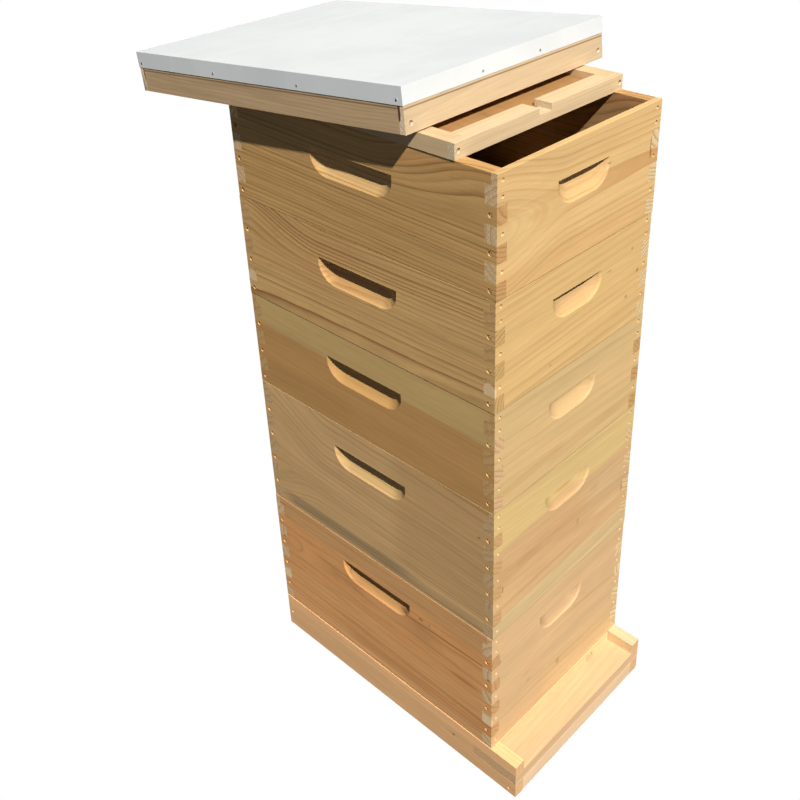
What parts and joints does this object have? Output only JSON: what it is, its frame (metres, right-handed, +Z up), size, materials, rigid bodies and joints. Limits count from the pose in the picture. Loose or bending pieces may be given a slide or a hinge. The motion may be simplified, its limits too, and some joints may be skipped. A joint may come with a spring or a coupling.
{
  "type": "beehive",
  "caption": "Wooden beehive: stacked finger-jointed boxes with hanging frames on a bottom board, under an inner cover and a metal-clad telescoping cover slid back.",
  "frame": {"origin": "middle of the bounding box on the ground, which lies a little behind the hive's own middle because the covers are slid back", "axes": "+Z up, -Y towards the front with the entrance and the landing board, +X to the right as seen from the front"},
  "size_m": [0.4206, 0.739, 1.1489],
  "materials": {
    "deep_1_wood": "bare planed pine",
    "deep_2_wood": "bare planed pine",
    "medium_1_wood": "bare planed pine",
    "medium_2_wood": "bare planed pine",
    "medium_3_wood": "bare planed pine",
    "bottom_wood": "bare planed pine",
    "reducer_wood": "bare planed pine",
    "inner_rim_wood": "bare planed pine",
    "panel_wood": "bare planed pine",
    "cover_rim_wood": "bare planed pine",
    "cover_board_wood": "bare planed pine",
    "frame_wood": "bare planed pine",
    "cover_metal": "white satin paint on folded sheet",
    "nail_steel": "bright nail",
    "foundation_wax": "waxed sheet"
  },
  "bodies": {
    "bottom_board": {"back_cleat": "bottom_wood", "bottom_nails": "nail_steel", "bottom_side_left": "bottom_wood", "bottom_side_right": "bottom_wood", "floor_board_back": "bottom_wood", "floor_board_front": "bottom_wood", "front_cleat": "bottom_wood", "landing_board": "bottom_wood", "top_rail_back": "bottom_wood", "top_rail_left": "bottom_wood", "top_rail_right": "bottom_wood"},
    "entrance_reducer": {"entrance_reducer": "reducer_wood"},
    "deep_1": {"deep_1_back": "deep_1_wood", "deep_1_foundation": "foundation_wax", "deep_1_frames": "frame_wood", "deep_1_front": "deep_1_wood", "deep_1_left": "deep_1_wood", "deep_1_nails": "nail_steel", "deep_1_right": "deep_1_wood"},
    "deep_2": {"deep_2_back": "deep_2_wood", "deep_2_foundation": "foundation_wax", "deep_2_frames": "frame_wood", "deep_2_front": "deep_2_wood", "deep_2_left": "deep_2_wood", "deep_2_nails": "nail_steel", "deep_2_right": "deep_2_wood"},
    "medium_1": {"medium_1_back": "medium_1_wood", "medium_1_foundation": "foundation_wax", "medium_1_frames": "frame_wood", "medium_1_front": "medium_1_wood", "medium_1_left": "medium_1_wood", "medium_1_nails": "nail_steel", "medium_1_right": "medium_1_wood"},
    "medium_2": {"medium_2_back": "medium_2_wood", "medium_2_foundation": "foundation_wax", "medium_2_frames": "frame_wood", "medium_2_front": "medium_2_wood", "medium_2_left": "medium_2_wood", "medium_2_nails": "nail_steel", "medium_2_right": "medium_2_wood"},
    "medium_3": {"medium_3_back": "medium_3_wood", "medium_3_front": "medium_3_wood", "medium_3_left": "medium_3_wood", "medium_3_nails": "nail_steel", "medium_3_right": "medium_3_wood"},
    "inner_cover": {"inner_nails": "nail_steel", "inner_panel_left": "panel_wood", "inner_panel_middle": "panel_wood", "inner_panel_right": "panel_wood", "inner_rail_back": "inner_rim_wood", "inner_rail_front": "inner_rim_wood", "inner_rail_left": "inner_rim_wood", "inner_rail_right": "inner_rim_wood"},
    "outer_cover": {"cover_board": "cover_board_wood", "cover_metal": "cover_metal", "cover_nails": "nail_steel", "cover_rim_back": "cover_rim_wood", "cover_rim_front": "cover_rim_wood", "cover_rim_left": "cover_rim_wood", "cover_rim_right": "cover_rim_wood"}
  },
  "joints": [
    {"name": "reducer_slide", "type": "slide", "parent": "bottom_board", "child": "entrance_reducer", "axis": [0, -1, 0], "range_m": [0, 0.075]},
    {"name": "deep_1_lift", "type": "slide", "parent": "bottom_board", "child": "deep_1", "axis": [0, 0, 1], "range_m": [0, 0.15]},
    {"name": "deep_2_lift", "type": "slide", "parent": "deep_1", "child": "deep_2", "axis": [0, 0, 1], "range_m": [0, 0.15]},
    {"name": "medium_1_lift", "type": "slide", "parent": "deep_2", "child": "medium_1", "axis": [0, 0, 1], "range_m": [0, 0.15]},
    {"name": "medium_2_lift", "type": "slide", "parent": "medium_1", "child": "medium_2", "axis": [0, 0, 1], "range_m": [0, 0.15]},
    {"name": "medium_3_lift", "type": "slide", "parent": "medium_2", "child": "medium_3", "axis": [0, 0, 1], "range_m": [0, 0.15]},
    {"name": "inner_cover_slide", "type": "slide", "parent": "medium_3", "child": "inner_cover", "axis": [0, 1, 0], "range_m": [-0.0645, 0.11]},
    {"name": "outer_cover_lift", "type": "slide", "parent": "inner_cover", "child": "outer_cover", "axis": [0, 0, 1], "range_m": [0, 0.15]}
  ]
}
